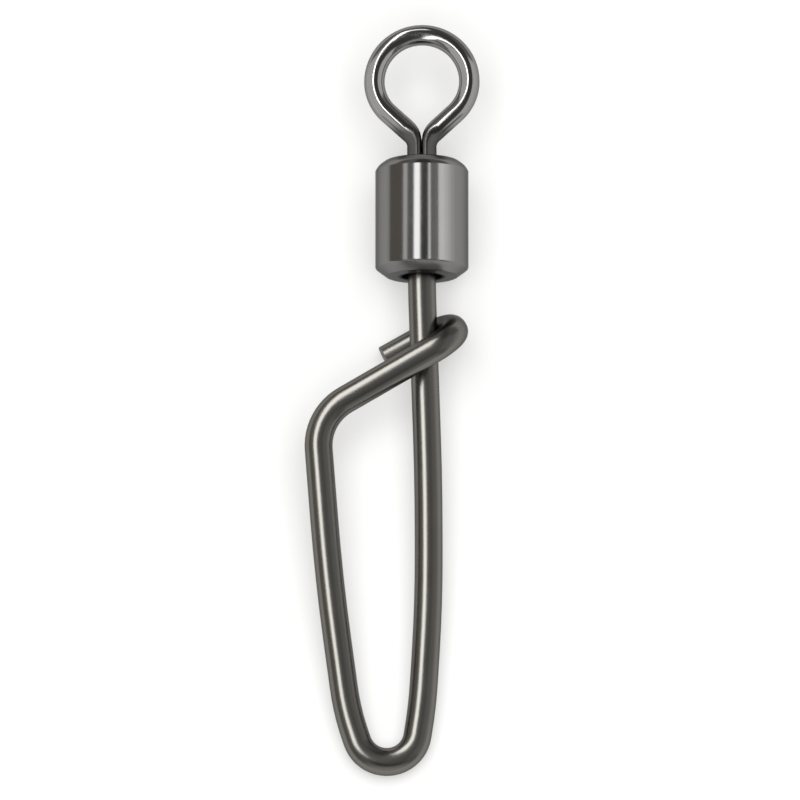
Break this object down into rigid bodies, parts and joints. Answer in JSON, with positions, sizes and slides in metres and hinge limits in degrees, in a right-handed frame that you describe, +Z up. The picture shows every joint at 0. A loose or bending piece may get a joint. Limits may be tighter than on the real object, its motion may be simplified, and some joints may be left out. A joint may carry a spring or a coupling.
{
  "type": "fishing snap pin",
  "caption": "Fishing snap pin: a rolling barrel swivel between a round wire line eye and a long wire snap that hooks closed round its own shaft.",
  "frame": {"origin": "on the floor, under the middle of the whole piece as it lies", "axes": "+Y runs from the snap's bend to the line eye, the long way of the piece; +Z is up from the floor, and +X is to the right with the eye at the top of the view"},
  "size_m": [0.014, 0.0612, 0.0082],
  "materials": {
    "barrel_plating": "polished black nickel plating on a turned barrel",
    "eye_plating": "polished black nickel plating on drawn and pressed wire",
    "snap_plating": "black nickel plating on hard drawn spring wire"
  },
  "bodies": {
    "barrel": {"barrel": "barrel_plating"},
    "eye": {"eye": "eye_plating"},
    "snap": {"snap": "snap_plating"}
  },
  "joints": [
    {"name": "eye_swivel", "type": "hinge", "parent": "barrel", "child": "eye", "pos_m": [0.00235, 0.01949, 0.00448], "axis": [0, 0.9975, 0.0701], "continuous": true},
    {"name": "snap_swivel", "type": "hinge", "parent": "barrel", "child": "snap", "pos_m": [0.00235, 0.01001, 0.00381], "axis": [0, 0.9975, 0.0701], "continuous": true}
  ]
}
